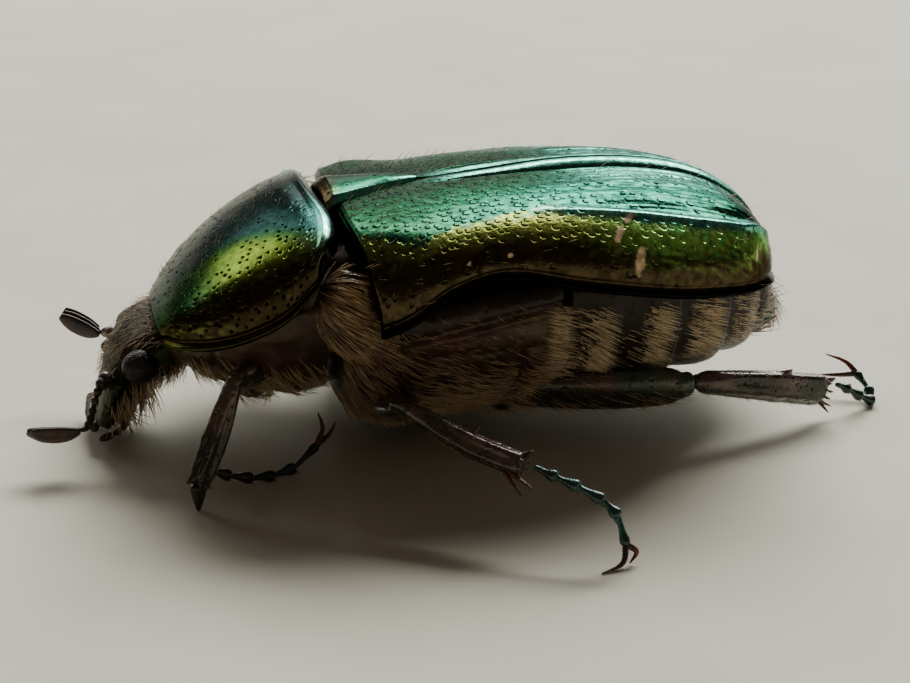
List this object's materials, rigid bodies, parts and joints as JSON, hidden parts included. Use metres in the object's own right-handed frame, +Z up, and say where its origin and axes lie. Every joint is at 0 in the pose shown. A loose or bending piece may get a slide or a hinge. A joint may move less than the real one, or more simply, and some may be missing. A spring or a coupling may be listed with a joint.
{
  "type": "rose chafer beetle",
  "caption": "Rose chafer beetle standing with wing cases closed, head lowered and legs spread, metallic green above and dark brown beneath.",
  "frame": {"origin": "middle of the outline in plan, at the level the feet stand on", "axes": "+X from head to tail, +Y towards the right side, +Z up"},
  "size_m": [0.0228, 0.0213, 0.0068],
  "materials": {
    "elytra": "glossy metallic green shell with turquoise and bronze lights",
    "pronotum": "glossy metallic green shell, golden in the light",
    "scutellum": "glossy metallic turquoise plate",
    "underside": "semi-gloss dark brown with a bronze tint",
    "abdomen": "semi-gloss dark brown belly plates",
    "head": "semi-gloss dark green-brown, densely pitted",
    "eye": "glossy near-black",
    "antenna": "satin dark red-brown",
    "legs": "semi-gloss dark brown-green",
    "feet": "glossy metallic green foot segments with red-brown claws"
  },
  "bodies": {
    "root": {"elytron_left": "elytra", "elytron_right": "elytra", "scutellum": "scutellum", "pronotum": "pronotum", "mesepimeron_left": "underside", "mesepimeron_right": "underside", "femur_fore_left": "legs", "tibia_fore_left": "legs", "tarsus_fore_left": "feet", "femur_fore_right": "legs", "tibia_fore_right": "legs", "tarsus_fore_right": "feet", "femur_mid_left": "legs", "tibia_mid_left": "legs", "tarsus_mid_left": "feet", "femur_mid_right": "legs", "tibia_mid_right": "legs", "tarsus_mid_right": "feet", "femur_hind_left": "legs", "tibia_hind_left": "legs", "tarsus_hind_left": "feet", "femur_hind_right": "legs", "tibia_hind_right": "legs", "tarsus_hind_right": "feet", "pterothorax": "underside", "prosternum": "underside", "abdomen": "abdomen", "pygidium": "abdomen", "head": "head", "eye_left": "eye", "antenna_club_left": "antenna", "antenna_stem_left": "antenna", "palp_left": "antenna", "eye_right": "eye", "antenna_club_right": "antenna", "antenna_stem_right": "antenna", "palp_right": "antenna"}
  },
  "joints": []
}
